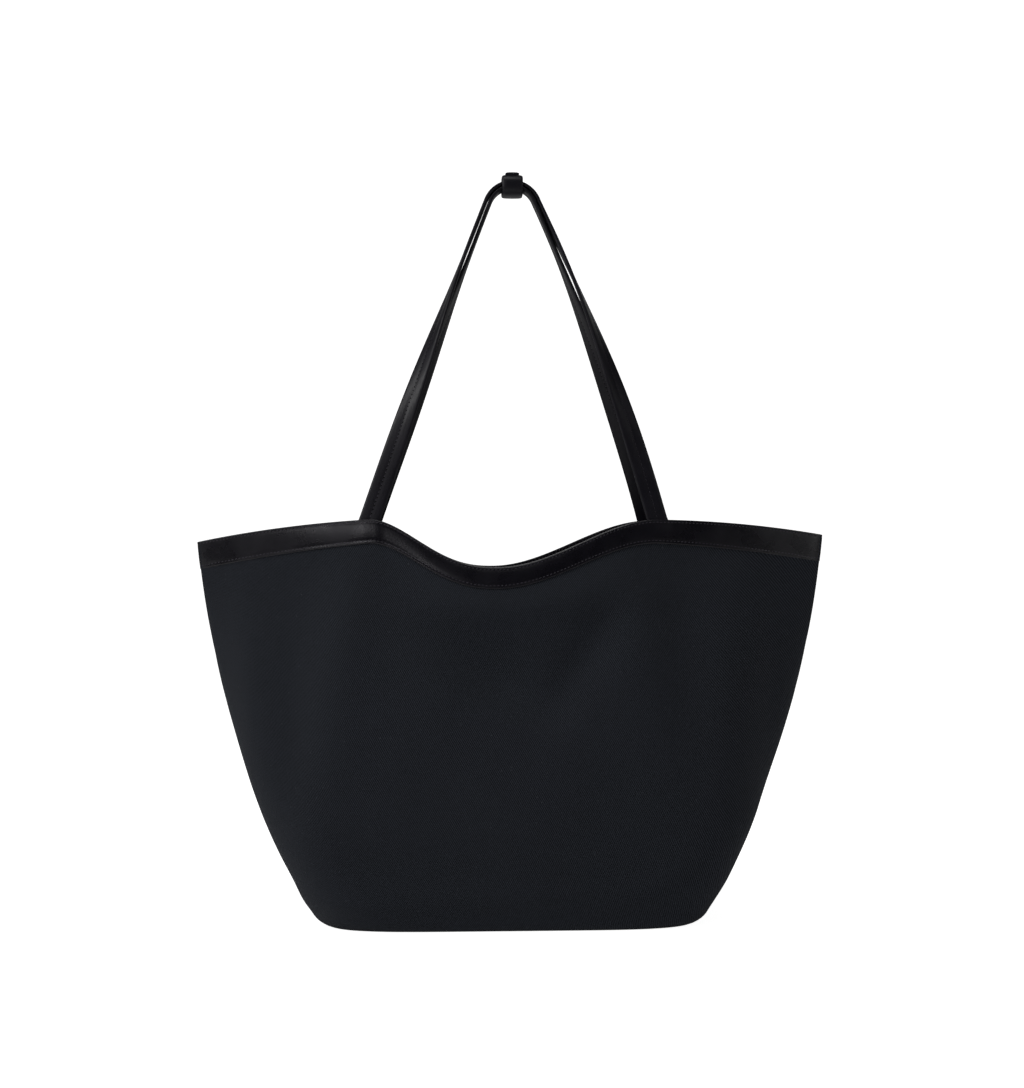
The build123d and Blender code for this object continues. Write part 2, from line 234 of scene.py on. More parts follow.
def fold_height(turn, x, z, side):
    """How far the cloth stands out from the plain wall."""
    out = np.zeros_like(x)
    for place, height, lean, length, width, lift in FOLDS[side]:
        turned = math.radians(lean)
        dx, dz = x - place * MM, z - height * MM
        along = (dz * math.cos(turned) + dx * math.sin(turned)) / (length * MM)
        beside = (dx * math.cos(turned) - dz * math.sin(turned)) / (width * MM)
        out += FOLD_GAIN * lift * MM * np.exp(-0.5 * (along ** 2 + beside ** 2))
    for k, (wave_x, wave_z, lift) in enumerate(RIPPLES):
        across = np.sin(x / (wave_x * MM) * 2 + 1.7 * k + side)
        upward = np.cos(z / (wave_z * MM) * 2 + 2.3 * k)
        out += lift * MM * across * upward
    from_seam = np.minimum(turn, 1 - turn)
    to_rim = rim_height(x) - z
    near_rim = 0.1 + 0.9 * smooth((to_rim - 14 * MM) / (26 * MM))
    return out * smooth(from_seam / 0.10) * near_rim * smooth(z / (20 * MM))


def tab_swell(x, z):
    """The rim stands out a little over the sewn-in strap ends."""
    reach = np.exp(-((np.abs(x) - HANDLE_HALF) / TAB_REACH) ** 6)
    return TAB_SWELL * reach * smooth((z - rim_height(x) + 22 * MM) / (6 * MM))


def seam_pinch(turn, z):
    """Side seam drawn in where the two panels are sewn together."""
    from_seam = np.minimum(turn, 1 - turn) * PANEL_ARC
    return -SEAM_PINCH * np.exp(-(from_seam / (2.2 * MM)) ** 2) * smooth((z - 4 * MM) / (20 * MM))


def skin(side, turn, z, inset):
    """Points of a ply with its folds, on the front or the back wall."""
    step = 1e-3
    plain = wall(turn, z, inset)
    turn, z = np.broadcast_arrays(np.asarray(turn, float), np.asarray(z, float))
    inner = np.clip(turn, step, 1 - step)
    around = wall(inner + step, z, 0) - wall(inner - step, z, 0)
    upward = wall(inner, z + step, 0) - wall(inner, np.maximum(z - step, 0), 0)
    normal = np.cross(around, upward)
    normal /= np.maximum(np.linalg.norm(normal, axis=-1, keepdims=True), 1e-12)
    x = plain[..., 0]
    lift = fold_height(turn, x, z, side) + tab_swell(x, z) + seam_pinch(turn, z)
    points = plain + normal * lift[..., None]
    points[..., 1] = np.minimum(points[..., 1], 0) * -side
    return points


def at_drop(side, turn, drop, inset):
    """Points a given drop below the rim line."""
    z = np.full(np.shape(turn), RIM_AT_HANDLE) - drop
    for _ in range(8):
        z = rim_height(wall(turn, z, inset)[..., 0]) - drop
    return skin(side, turn, z, inset)


# ---- mesh making ---------------------------------------------------------------------------------
def mesh_object(name, verts, faces, uvs=None):
    mesh = bpy.data.meshes.new(name)
    mesh.from_pydata(np.asarray(verts).reshape(-1, 3).tolist(), [], faces)
    if uvs is not None:
        layer = mesh.uv_layers.new(name="cloth")
        index = np.zeros(len(mesh.loops), int)
        mesh.loops.foreach_get("vertex_index", index)
        layer.data.foreach_set("uv", np.asarray(uvs).reshape(-1, 2)[index].ravel())
    obj = bpy.data.objects.new(name, mesh)
    bpy.context.scene.collection.objects.link(obj)
    return obj


def tidy_mesh(obj, smooth_angle=50):
    """Merges doubles, points every face outwards and shades smooth, with sharp edges kept."""
    work = bmesh.new()
    work.from_mesh(obj.data)
    bmesh.ops.remove_doubles(work, verts=work.verts, dist=2e-6)
    bmesh.ops.dissolve_degenerate(work, dist=1e-7, edges=work.edges)
    bmesh.ops.recalc_face_normals(work, faces=work.faces)
    for edge in work.edges:
        edge.smooth = len(edge.link_faces) == 2 and edge.calc_face_angle(0) < math.radians(smooth_angle)
    for face in work.faces:
        face.smooth = True
    work.to_mesh(obj.data)
    work.free()
    return obj


def swept(name, rings, uvs=None, closed=False, smooth_angle=50):
    """Closed skin over rings of points, shaped (rings, points, 3), with its ends filled."""
    rings = np.asarray(rings)
    count, size = rings.shape[:2]
    faces = []
    for i in range(count if closed else count - 1):
        a, b = i * size, (i + 1) % count * size
        faces += [(a + j, b + j, b + (j + 1) % size, a + (j + 1) % size) for j in range(size)]
    if not closed:
        for start in (0, (count - 1) * size):
            faces += [(start + j, start + j + 1, start + size - 2 - j, start + size - 1 - j)
                      for j in range(size // 2 - 1)]
    return tidy_mesh(mesh_object(name, rings, faces, uvs), smooth_angle)


def cloth_uv(outside, across_at):
    """UV in metres: arc length from the middle of the panel, and distance along each column."""
    steps = np.linalg.norm(np.diff(outside[:, across_at], axis=0), axis=-1)
    run = np.concatenate(([0], np.cumsum(steps)))
    run -= run[len(run) // 2]
    rise = np.linalg.norm(np.diff(outside, axis=1), axis=-1)
    rise = np.concatenate((np.zeros((len(outside), 1)), np.cumsum(rise, axis=1)), axis=1)
    return np.stack((np.broadcast_to(run[:, None], rise.shape), rise), -1)


def bag_ply(name, side, outer, inner, columns=170, rows=84):
    """Base half and wall of one cloth ply, from the base seam up to just under the rim's lip."""
    turns = np.linspace(0, 1, columns + 1)
    shares = np.linspace(0, 1, rows + 1)[None, :] ** 1.4

    def run(inset):
        z = np.full((len(turns), rows + 1), inset)
        for _ in range(8):
            top = rim_height(wall(turns, z[:, -1], inset)[:, 0]) - LIP
            z = inset + (top[:, None] - inset) * shares
        points = skin(side, turns[:, None], z, inset)
        edge = points[:, :1]
        base = edge * np.linspace(0, 1, 12)[None, :-1, None] ** (0, 1, 0) * (1, 1, 0) + (0, 0, inset)
        return np.concatenate((base, points), axis=1)

    outside, inside = run(outer), run(inner)
    uv = cloth_uv(outside, outside.shape[1] // 2)
    rings = np.concatenate((outside, inside[:, ::-1]), axis=1)
    return swept(name, rings, np.concatenate((uv, uv[:, ::-1]), axis=1))


def rim_ply(name, side, profile, columns=240):
    """Leather or tape along the rim. Profile: (inset, drop, share of the facing's height)."""
    turns = np.linspace(0, 1, columns + 1)
    extra = facing_height(wall(turns, RIM_AT_LEFT_SEAM, 0)[:, 0])
    rings = [at_drop(side, turns, drop + share * extra, inset) for inset, drop, share in profile]
    return swept(name, np.stack(rings, axis=1), smooth_angle=62)


def patch_ply(name, side, outer, inner, turn_half, low, high, columns=60, rows=40):
    """Patch sewn on a wall, with its side and lower edges pressed flat and its middle a little full."""
    turns = np.linspace(0.5 - turn_half, 0.5 + turn_half, columns + 1)[:, None]
    heights = np.linspace(low, high, rows + 1)[None, :]
    across = np.sin(np.pi * (turns - turns[0]) / (2 * turn_half))
    share = across * smooth((heights - low) / (high - low) * 1.4)
    inside = skin(side, turns, heights, inner + PATCH_PUFF * share)
    outside = skin(side, turns, heights, outer + PATCH_PUFF * share * 0.9)
    uv = cloth_uv(outside, rows // 2)
    rings = np.concatenate((outside, inside[:, ::-1]), axis=1)
    return swept(name, rings, np.concatenate((uv, uv[:, ::-1]), axis=1))


# ---- straps --------------------------------------------------------------------------------------
def leg_line():
    """Lean from vertical, and where the pair of straps leaves the crown's arc."""
    rise = CROWN_Z - RIM_AT_HANDLE
    lean = math.atan(HANDLE_HALF / rise) - math.asin(PAIR_RADIUS / math.hypot(HANDLE_HALF, rise))
    return lean, PAIR_RADIUS * math.cos(lean), CROWN_Z + PAIR_RADIUS * math.sin(lean)


def strap_frames(side, start_z):
    """Middle, width direction and face direction of a strap, from its left foot to its right one."""
    lean, top_x, top_z = leg_line()
    frames = []

    def leg(hand, heights):
        for z in heights:
            share = (top_z - z) / (top_z - RIM_AT_HANDLE)
            spread = share - 0.03 * (1 - math.exp(-max(share, 0) / 0.03))
            turned = float(smooth((TWIST_HIGH - z) / (TWIST_HIGH - TWIST_LOW))) * (math.pi / 2 - FOOT_TURN)
            along = Vector((-hand * math.sin(lean), 0, math.cos(lean)))
            outward = Vector((hand * math.cos(lean), 0, math.sin(lean)))
            face = outward * math.cos(turned) + Vector((0, side, 0)) * math.sin(turned)
            stacked = -side * STRAP_PITCH / 2 * (1 - float(smooth((share - 0.32) / 0.68)))
            middle = Vector((hand * (top_x + (HANDLE_HALF - top_x) * share), side * FOOT_Y * spread, z))
            middle += outward * (stacked + leg_bow(hand, share))
            frames.append((middle, face.cross(along) * hand, face))

    steps = np.linspace(start_z, top_z, 110)
    leg(-1, steps)
    radius = PAIR_RADIUS - side * STRAP_PITCH / 2
    for angle in np.linspace(math.pi - lean, lean, 44)[1:-1]:
        outward = Vector((math.cos(angle), 0, math.sin(angle)))
        frames.append((Vector((0, 0, CROWN_Z)) + outward * radius, Vector((0, -1, 0)), outward))
    leg(1, steps[::-1])
    return frames


def leg_bow(hand, share):
    """Legs bow out a little half way, the right one more than the left."""
    bow = BOW_LEFT if hand < 0 else BOW_RIGHT
    return bow * 4 * max(0.0, share) * max(0.0, 1 - share)


def strap_section(width, thick, groove, notch, points=22):
    """Cross-section of a folded strap: two full halves and a middle drawn in by its stitches."""
    across = np.sin(np.linspace(-math.pi / 2, math.pi / 2, points))
    full = (1 - np.abs(across) ** 6) ** 0.42
    middle = 1 - groove * np.exp(-(across * width / 2 / (0.8 * MM)) ** 2)
    upper = np.stack((across * width / 2, full * middle * thick / 2), -1)
    lower = upper[::-1] * (1, -1)
    return np.concatenate((upper[1:-1], [(width / 2 - notch, 0)], lower[1:-1], [(notch - width / 2, 0)]))


def sweep_frames(name, frames, section):
    """Strap swept through its frames; the section starts on its left edge, where the ends are filled."""
    section = np.roll(section, 1, axis=0)
    rings = [[list(middle + wide * w + face * t) for w, t in section] for middle, wide, face in frames]
    return swept(name, np.array(rings), smooth_angle=75)


# ---- keeper --------------------------------------------------------------------------------------
def keeper_ring(name, thick, half_y, half_z, width, angles, closed=False, puff=0.25 * MM):
    """Leather strip bent round both straps."""
    centre_z = (keeper_low.z + keeper_high.z) / 2
    rings = []
    for angle in angles:
        c, s = math.cos(angle), math.sin(angle)
        power = 2 / 2.8
        y = math.copysign(abs(c) ** power, c)
        z = math.copysign(abs(s) ** power, s)
        ring = []
        for across, out in keeper_section(width, thick, puff):
            ring.append((across, y * (half_y + out), centre_z + z * (half_z + out)))
        rings.append(ring)
    return swept(name, np.array(rings), closed=closed, smooth_angle=70)


def keeper_section(width, thick, puff, points=11):
    """Cross-section of the keeper's strip: slightly full outside, rounded edges."""
    across = np.sin(np.linspace(-math.pi / 2, math.pi / 2, points))
    full = (1 - np.abs(across) ** 7) ** 0.4
    outer = [(a * width / 2, thick / 2 * f + thick / 2 + puff * (1 - a * a)) for a, f in zip(across, full)]
    inner = [(a * width / 2, thick / 2 - thick / 2 * f) for a, f in zip(across[::-1], full[::-1])]
    return outer[1:-1] + [(width / 2, thick / 2)] + inner[1:-1] + [(-width / 2, thick / 2)]


# ---- stitches ------------------------------------------------------------------------------------
def socket(tree, name, kind, value=None, side="INPUT"):
    made = tree.interface.new_socket(name, in_out=side, socket_type=kind)
    if value is not None:
        made.default_value = value
    return made


def stitch_tree():
    """Grains of thread laid along a line of points, each point carrying its outward direction."""
    tree = bpy.data.node_groups.new("stitch_row", "GeometryNodeTree")
    socket(tree, "Line", "NodeSocketGeometry")
    socket(tree, "Pitch", "NodeSocketFloat", 3 * MM)
    socket(tree, "Length", "NodeSocketFloat", 2.2 * MM)
    socket(tree, "Thickness", "NodeSocketFloat", 0.6 * MM)
    socket(tree, "Height", "NodeSocketFloat", 0.4 * MM)
    socket(tree, "Slant", "NodeSocketFloat", 0.12)
    socket(tree, "Material", "NodeSocketMaterial")
    socket(tree, "Geometry", "NodeSocketGeometry", side="OUTPUT")
    new, link = tree.nodes.new, tree.links.new
    entry, leave = new("NodeGroupInput"), new("NodeGroupOutput")
    curve, resample = new("GeometryNodeMeshToCurve"), new("GeometryNodeResampleCurve")
    resample.mode = "LENGTH"
    link(entry.outputs["Line"], curve.inputs["Mesh"])
    link(curve.outputs["Curve"], resample.inputs["Curve"])
    link(entry.outputs["Pitch"], resample.inputs["Length"])
    grain = new("GeometryNodeMeshUVSphere")
    grain.inputs["Segments"].default_value = 6
    grain.inputs["Rings"].default_value = 5
    grain.inputs["Radius"].default_value = 0.5
    size = new("ShaderNodeCombineXYZ")
    link(entry.outputs["Length"], size.inputs[0])
    link(entry.outputs["Thickness"], size.inputs[1])
    link(entry.outputs["Height"], size.inputs[2])
    tangent, outward = new("GeometryNodeInputTangent"), new("GeometryNodeInputNamedAttribute")
    outward.data_type = "FLOAT_VECTOR"
    outward.inputs["Name"].default_value = "outward"
    axes = new("FunctionNodeAxesToRotation")
    axes.primary_axis, axes.secondary_axis = "Z", "X"
    link(outward.outputs["Attribute"], axes.inputs["Primary Axis"])
    link(tangent.outputs["Tangent"], axes.inputs["Secondary Axis"])
    wobble = new("FunctionNodeRandomValue")
    wobble.data_type = "FLOAT"
    wobble.inputs["Min"].default_value = 0.7
    wobble.inputs["Max"].default_value = 1.3
    wobble.inputs["Seed"].default_value = 11
    slant, turn = new("ShaderNodeMath"), new("ShaderNodeCombineXYZ")
    slant.operation = "MULTIPLY"
    link(entry.outputs["Slant"], slant.inputs[0])
    link(wobble.outputs[1], slant.inputs[1])
    link(slant.outputs[0], turn.inputs[2])
    euler, rotate = new("FunctionNodeEulerToRotation"), new("FunctionNodeRotateRotation")
    rotate.rotation_space = "LOCAL"
    link(turn.outputs[0], euler.inputs[0])
    link(axes.outputs["Rotation"], rotate.inputs["Rotation"])
    link(euler.outputs[0], rotate.inputs["Rotate By"])
    lay = new("GeometryNodeInstanceOnPoints")
    link(resample.outputs["Curve"], lay.inputs["Points"])
    link(grain.outputs["Mesh"], lay.inputs["Instance"])
    link(rotate.outputs["Rotation"], lay.inputs["Rotation"])
    link(size.outputs[0], lay.inputs["Scale"])
    real, dress = new("GeometryNodeRealizeInstances"), new("GeometryNodeSetMaterial")
    link(lay.outputs["Instances"], real.inputs["Geometry"])
    link(real.outputs["Geometry"], dress.inputs["Geometry"])
    link(entry.outputs["Material"], dress.inputs["Material"])
    link(dress.outputs["Geometry"], leave.inputs["Geometry"])
    return tree


def stitch_rows(name, rows, tree, **inputs):
    """One mesh of stitches along several rows; a row is (points, outward directions)."""
    verts, edges, outward = [], [], []
    for points, directions in rows:
        first = len(verts)
        verts += [tuple(p) for p in points]
        outward += [tuple(d) for d in directions]
        edges += [(first + i, first + i + 1) for i in range(len(points) - 1)]
    mesh = bpy.data.meshes.new(name + "_lines")
    mesh.from_pydata(verts, edges, [])
    data = mesh.attributes.new("outward", "FLOAT_VECTOR", "POINT")
    data.data.foreach_set("vector", np.array(outward, float).ravel())
    line = bpy.data.objects.new(name + "_lines", mesh)
    bpy.context.scene.collection.objects.link(line)
    modifier = line.modifiers.new("stitches", "NODES")
    modifier.node_group = tree
    for item in tree.interface.items_tree:
        if item.in_out == "INPUT" and item.name in inputs:
            modifier[item.identifier] = inputs[item.name]
    bpy.context.view_layer.update()
    made = bpy.data.meshes.new_from_object(line.evaluated_get(bpy.context.evaluated_depsgraph_get()))
    bpy.data.objects.remove(line)
    for attribute in [a.name for a in made.attributes if a.name == "outward"]:
        made.attributes.remove(made.attributes[attribute])
    made.name = name
    for face in made.polygons:
        face.use_smooth = True
    obj = bpy.data.objects.new(name, made)
    bpy.context.scene.collection.objects.link(obj)
    return obj


def rim_row(side, drop, share, inset, inward=False, count=900):
    """Stitch row along the rim, on its outer or inner face."""
    turns = np.linspace(0.006, 0.994, count)
    extra = share * facing_height(wall(turns, RIM_AT_LEFT_SEAM, 0)[:, 0])
    here = at_drop(side, turns, drop + extra, inset)
    lower = at_drop(side, turns, drop + extra + MM, inset)
    tangent = np.gradient(here, axis=0)
    normal = np.cross(tangent, here - lower) * -side
    normal /= np.linalg.norm(normal, axis=-1, keepdims=True)
    return here, (-normal if inward else normal)


def strap_row(frames, lift, face_sign, start, stop):
    """Stitch row along the middle of a strap, on one of its two faces."""
    middle = [m + f * lift * face_sign for m, w, f in frames[start:stop]]
    return [tuple(p) for p in middle], [tuple(f * face_sign) for m, w, f in frames[start:stop]]


# ---- materials -----------------------------------------------------------------------------------
def group(name, inputs, outputs):
    tree = bpy.data.node_groups.new(name, "ShaderNodeTree")
    for label, kind, value in inputs:
        socket(tree, label, kind, value)
    for label, kind in outputs:
        socket(tree, label, kind, side="OUTPUT")
    return tree, tree.nodes.new("NodeGroupInput"), tree.nodes.new("NodeGroupOutput")


def math_node(tree, operation, a, b=None, clamp=False):
    node = tree.nodes.new("ShaderNodeMath")
    node.operation, node.use_clamp = operation, clamp
    for slot, value in ((0, a), (1, b)):
        if value is None:
            continue
        if isinstance(value, (int, float)):
            node.inputs[slot].default_value = value
        else:
            tree.links.new(value, node.inputs[slot])
    return node.outputs[0]


def noise(tree, vector, scale, detail=3.0, rough=0.55):
    node = tree.nodes.new("ShaderNodeTexNoise")
    node.inputs["Scale"].default_value = scale
    node.inputs["Detail"].default_value = detail
    node.inputs["Roughness"].default_value = rough
    tree.links.new(vector, node.inputs["Vector"])
    return node.outputs["Fac"]


def spread(tree, value, low, high, to_low=0.0, to_high=1.0):
    node = tree.nodes.new("ShaderNodeMapRange")
    node.inputs["From Min"].default_value = low
    node.inputs["From Max"].default_value = high
    node.inputs["To Min"].default_value = to_low
    node.inputs["To Max"].default_value = to_high
    tree.links.new(value, node.inputs["Value"])
    return node.outputs["Result"]


def twill_group():
    """Diagonal ribs of a twill, cut into yarn floats, from a cloth UV in metres."""
    tree, entry, leave = group(
        "twill_weave",
        [("Vector", "NodeSocketVector", (0, 0, 0)), ("Rib pitch", "NodeSocketFloat", 1.6 * MM),
         ("Slope", "NodeSocketFloat", 0.58), ("Float length", "NodeSocketFloat", 1.1 * MM)],
        [("Ribs", "NodeSocketFloat"), ("Yarn", "NodeSocketFloat"), ("Slub", "NodeSocketFloat")])
    split = tree.nodes.new("ShaderNodeSeparateXYZ")
    tree.links.new(entry.outputs["Vector"], split.inputs[0])
    wander = math_node(tree, "MULTIPLY", noise(tree, entry.outputs["Vector"], 190.0, 2.0), 0.5 * MM)
    u = math_node(tree, "ADD", split.outputs[0], wander)
    v = math_node(tree, "MULTIPLY", split.outputs[1], entry.outputs["Slope"])
    across = math_node(tree, "DIVIDE", math_node(tree, "ADD", u, v), entry.outputs["Rib pitch"])
    rib = math_node(tree, "SINE", math_node(tree, "MULTIPLY", across, math.tau))
    rib = math_node(tree, "MULTIPLY_ADD", rib, 0.5)
    rib.node.inputs[2].default_value = 0.5
    step = math_node(tree, "DIVIDE", split.outputs[1], entry.outputs["Float length"])
    lean = math_node(tree, "ADD", step, math_node(tree, "MULTIPLY", across, 0.5))
    yarn = math_node(tree, "SINE", math_node(tree, "MULTIPLY", lean, math.tau))
    yarn = math_node(tree, "MULTIPLY_ADD", yarn, 0.5)
    yarn.node.inputs[2].default_value = 0.5
    tree.links.new(rib, leave.inputs["Ribs"])
    tree.links.new(yarn, leave.inputs["Yarn"])
    tree.links.new(noise(tree, entry.outputs["Vector"], 900.0, 2.0, 0.7), leave.inputs["Slub"])
    return tree


def lint_group():
    """Mask of small pale fibres and dust caught in a weave."""
    tree, entry, leave = group(
        "lint",
        [("Vector", "NodeSocketVector", (0, 0, 0)), ("Density", "NodeSocketFloat", 0.3)],
        [("Lint", "NodeSocketFloat")])
    cells = tree.nodes.new("ShaderNodeTexVoronoi")
    cells.inputs["Scale"].default_value = 260.0
    tree.links.new(entry.outputs["Vector"], cells.inputs["Vector"])
    speck = spread(tree, cells.outputs["Distance"], 0.16, 0.08)
    chosen = tree.nodes.new("ShaderNodeSeparateXYZ")
    tree.links.new(cells.outputs["Color"], chosen.inputs[0])
    some = math_node(tree, "LESS_THAN", chosen.outputs[0], entry.outputs["Density"])
    patch = spread(tree, noise(tree, entry.outputs["Vector"], 30.0, 3.0), 0.35, 0.65, 0.3, 1.0)
    mask = math_node(tree, "MULTIPLY", math_node(tree, "MULTIPLY", speck, some), patch)
    tree.links.new(mask, leave.inputs["Lint"])
    return tree


def grain_group():
    """Leather grain: fine pebble, soft wrinkles, and a slow mottling of the finish."""
    tree, entry, leave = group(
        "leather_grain",
        [("Vector", "NodeSocketVector", (0, 0, 0)), ("Pebble size", "NodeSocketFloat", 0.7 * MM)],
        [("Height", "NodeSocketFloat"), ("Mottle", "NodeSocketFloat")])
    cells = tree.nodes.new("ShaderNodeTexVoronoi")
    cells.feature = "SMOOTH_F1"
    scale = math_node(tree, "DIVIDE", 1.0, entry.outputs["Pebble size"])
    tree.links.new(scale, cells.inputs["Scale"])
    tree.links.new(entry.outputs["Vector"], cells.inputs["Vector"])
    pebble = math_node(tree, "MULTIPLY", cells.outputs["Distance"], -0.6)
    fine = noise(tree, entry.outputs["Vector"], 1500.0, 3.0, 0.6)
    wrinkle = noise(tree, entry.outputs["Vector"], 160.0, 5.0, 0.6)
    height = math_node(tree, "ADD", pebble, math_node(tree, "MULTIPLY", fine, 0.5))
    tree.links.new(math_node(tree, "ADD", height, wrinkle), leave.inputs["Height"])
    tree.links.new(noise(tree, entry.outputs["Vector"], 34.0, 4.0, 0.6), leave.inputs["Mottle"])
    return tree


def wear_group():
    """Mask of worn, exposed edges, from how sharply the surface turns."""
    tree, entry, leave = group(
        "edge_wear",
        [("Vector", "NodeSocketVector", (0, 0, 0)), ("Amount", "NodeSocketFloat", 0.5)],
        [("Wear", "NodeSocketFloat")])
    shape = tree.nodes.new("ShaderNodeNewGeometry")
    edge = spread(tree, shape.outputs["Pointiness"], 0.505, 0.57)
    patchy = spread(tree, noise(tree, entry.outputs["Vector"], 90.0, 4.0, 0.65), 0.35, 0.7)
    worn = math_node(tree, "MULTIPLY", edge, patchy)
    wear = math_node(tree, "MULTIPLY", worn, entry.outputs["Amount"], True)
    tree.links.new(wear, leave.inputs["Wear"])
    return tree


def material(name, roughness, specular, sheen=0.0):
    made = bpy.data.materials.new(name)
    made.use_nodes = True
    tree = made.node_tree
    shader = tree.nodes["Principled BSDF"]
    shader.inputs["Roughness"].default_value = roughness
    shader.inputs["Specular IOR Level"].default_value = specular
    shader.inputs["Sheen Weight"].default_value = sheen
    shader.inputs["Sheen Roughness"].default_value = 0.5
    return made, tree, shader


def place(tree, grouped, vector, **values):
    node = tree.nodes.new("ShaderNodeGroup")
    node.node_tree = grouped
    tree.links.new(vector, node.inputs["Vector"])
    for label, value in values.items():
        node.inputs[label.replace("_", " ")].default_value = value
    return node


def ramp(tree, value, stops):
    node = tree.nodes.new("ShaderNodeValToRGB")
    for end in (0, -1):
        position, colour = stops[end]
        node.color_ramp.elements[end].position = position
        node.color_ramp.elements[end].color = (*colour, 1)
    tree.links.new(value, node.inputs[0])
    return node.outputs[0]


def bump(tree, shader, height, distance, strength):
    node = tree.nodes.new("ShaderNodeBump")
    node.inputs["Distance"].default_value = distance
    node.inputs["Strength"].default_value = strength
    tree.links.new(height, node.inputs["Height"])
    tree.links.new(node.outputs[0], shader.inputs["Normal"])


def coordinate(tree, kind):
    return tree.nodes.new("ShaderNodeTexCoord").outputs[kind]


def cloth_material(name, twill, lint, dark, light, pitch, slope, floats, sheen, strength, density):
    made, tree, shader = material(name, 0.92, 0.12, sheen)
    uv = coordinate(tree, "UV")
    weave = place(tree, twill, uv, Rib_pitch=pitch, Slope=slope, Float_length=floats)
    slow = noise(tree, uv, 14.0, 4.0, 0.6)
    ribs = math_node(tree, "MULTIPLY", weave.outputs["Ribs"], 0.72)
    yarn = math_node(tree, "MULTIPLY", weave.outputs["Yarn"], 0.16)
    slub = math_node(tree, "MULTIPLY", weave.outputs["Slub"], 0.34)
    value = math_node(tree, "ADD", math_node(tree, "ADD", ribs, yarn), slub)
    value = math_node(tree, "ADD", value, math_node(tree, "MULTIPLY", slow, 0.22), True)
    caught = place(tree, lint, uv, Density=density)
    mix = tree.nodes.new("ShaderNodeMix")
    mix.data_type = "RGBA"
    mix.inputs["B"].default_value = (0.055, 0.06, 0.07, 1)
    tree.links.new(caught.outputs["Lint"], mix.inputs["Factor"])
    tree.links.new(ramp(tree, value, [(0.25, dark), (0.95, light)]), mix.inputs["A"])
    tree.links.new(mix.outputs["Result"], shader.inputs["Base Color"])
    tree.links.new(spread(tree, slow, 0.3, 0.7, 0.86, 0.97), shader.inputs["Roughness"])
    bump(tree, shader, value, 0.42 * MM, strength)
    return made


def leather_material(name, grain, wear, dark, light, worn, roughness, pebble, strength, specular):
    made, tree, shader = material(name, roughness, specular)
    place_at = coordinate(tree, "Object")
    skin_grain = place(tree, grain, place_at, Pebble_size=pebble)
    edges = place(tree, wear, place_at, Amount=0.55)
    colour = ramp(tree, skin_grain.outputs["Mottle"], [(0.3, dark), (0.72, light)])
    mix = tree.nodes.new("ShaderNodeMix")
    mix.data_type = "RGBA"
    mix.inputs["B"].default_value = (*worn, 1)
    tree.links.new(edges.outputs["Wear"], mix.inputs["Factor"])
    tree.links.new(colour, mix.inputs["A"])
    tree.links.new(mix.outputs["Result"], shader.inputs["Base Color"])
    rough = spread(tree, skin_grain.outputs["Mottle"], 0.3, 0.7, roughness - 0.05, roughness + 0.08)
    tree.links.new(rough, shader.inputs["Roughness"])
    bump(tree, shader, skin_grain.outputs["Height"], 0.22 * MM, strength)
    return made


def thread_material(name, dark, light):
    made, tree, shader = material(name, 0.6, 0.35)
    place_at = coordinate(tree, "Object")
    ply = noise(tree, place_at, 2600.0, 2.0, 0.6)
    # The ramp's light end sits well above the thread's black: painted sheen over the real ply's tone.
    tree.links.new(ramp(tree, ply, [(0.3, dark), (0.7, light)]), shader.inputs["Base Color"])
    bump(tree, shader, ply, 0.1 * MM, 0.5)
    return made


def plain_material(name, dark, light, roughness, scale):
    made, tree, shader = material(name, roughness, 0.2)
    place_at = coordinate(tree, "Object")
    fibre = noise(tree, place_at, scale, 4.0, 0.65)
    tree.links.new(ramp(tree, fibre, [(0.3, dark), (0.7, light)]), shader.inputs["Base Color"])
    bump(tree, shader, fibre, 0.2 * MM, 0.4)
    return made


def paint(obj, made):
    obj.data.materials.clear()
    obj.data.materials.append(made)
    return obj


# ---- the pieces ----------------------------------------------------------------------------------
twill, lint, grain, wear = twill_group(), lint_group(), grain_group(), wear_group()
CANVAS = cloth_material(
    "black_twill_canvas", twill, lint, dark=(0.0013, 0.0017, 0.0024), light=(0.0355, 0.040, 0.051),
    pitch=1.6 * MM, slope=0.58, floats=1.1 * MM, sheen=0.05, strength=0.9, density=0.16)
LINING = cloth_material(
    "black_lining_cloth", twill, lint, dark=(0.014, 0.014, 0.015), light=(0.060, 0.060, 0.064),
    pitch=0.7 * MM, slope=0.9, floats=0.7 * MM, sheen=0.02, strength=0.5, density=0.04)
RIM_LEATHER = leather_material(
    "rim_leather", grain, wear, dark=(0.0034, 0.0029, 0.0056), light=(0.0058, 0.0050, 0.0090),
    worn=(0.03, 0.027, 0.036), roughness=0.27, pebble=0.8 * MM, strength=0.2, specular=0.5)
STRAP_LEATHER = leather_material(
    "strap_leather", grain, wear, dark=(0.0044, 0.0038, 0.0070), light=(0.0078, 0.0067, 0.0116),
    worn=(0.035, 0.032, 0.042), roughness=0.42, pebble=0.6 * MM, strength=0.3, specular=0.32)
# Black thread whose colour is lifted to grey: painted sheen on the stitches.
THREAD_WITH_PAINTED_SHEEN = thread_material("black_thread_painted_sheen", (0.018, 0.016, 0.022), (0.070, 0.063, 0.082))
